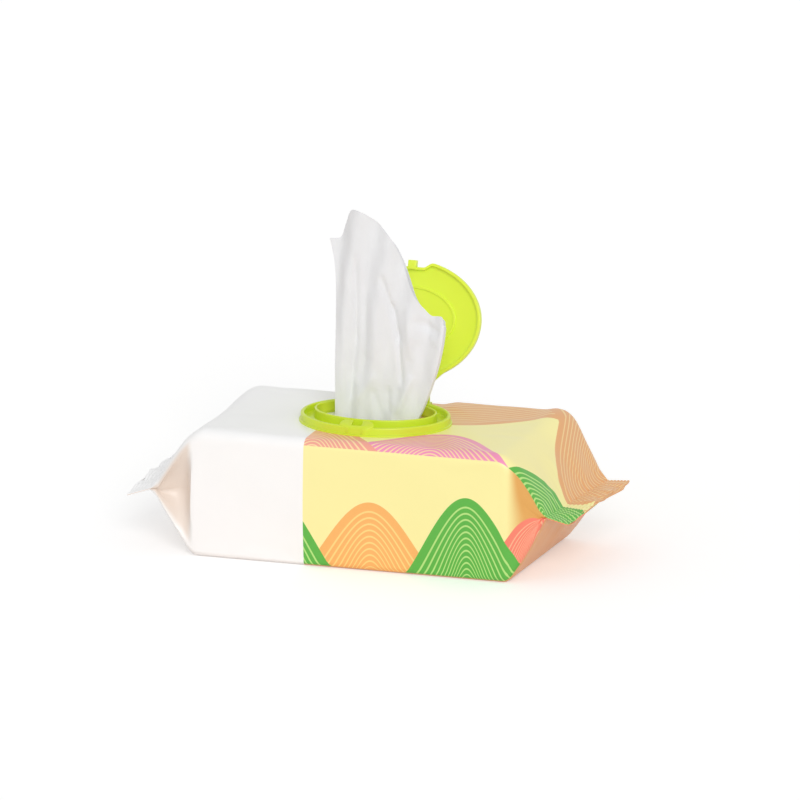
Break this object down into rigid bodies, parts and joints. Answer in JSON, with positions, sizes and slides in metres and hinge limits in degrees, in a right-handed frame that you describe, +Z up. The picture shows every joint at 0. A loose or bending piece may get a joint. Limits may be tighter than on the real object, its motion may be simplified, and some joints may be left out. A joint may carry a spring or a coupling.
{
  "type": "wet wipes pack",
  "caption": "Soft film pack of folded wet wipes with gusseted sealed ends, an oval flip-top lid standing open on its frame, and a wipe pulled up through the opening.",
  "frame": {"origin": "centre of the pack body's flat underside", "axes": "+X along the pack's length, +Z up; the front, with the lid's latch, faces -Y"},
  "size_m": [0.288, 0.1325, 0.213],
  "materials": {
    "film": "satin printed film",
    "nonwoven": "damp nonwoven cotton",
    "lid_plastic": "satin moulded polypropylene"
  },
  "bodies": {
    "pack": {"pouch": "film", "wipe_stack": "nonwoven", "pulled_wipe": "nonwoven", "lid_frame": "lid_plastic"},
    "lid": {"lid": "lid_plastic"}
  },
  "joints": [
    {"name": "lid_hinge", "type": "hinge", "parent": "pack", "child": "lid", "pos_m": [-0.002, 0.0455, 0.0855], "axis": [1, 0, 0], "range_deg": [0, 106], "deforming": ["pulled_wipe"]}
  ]
}
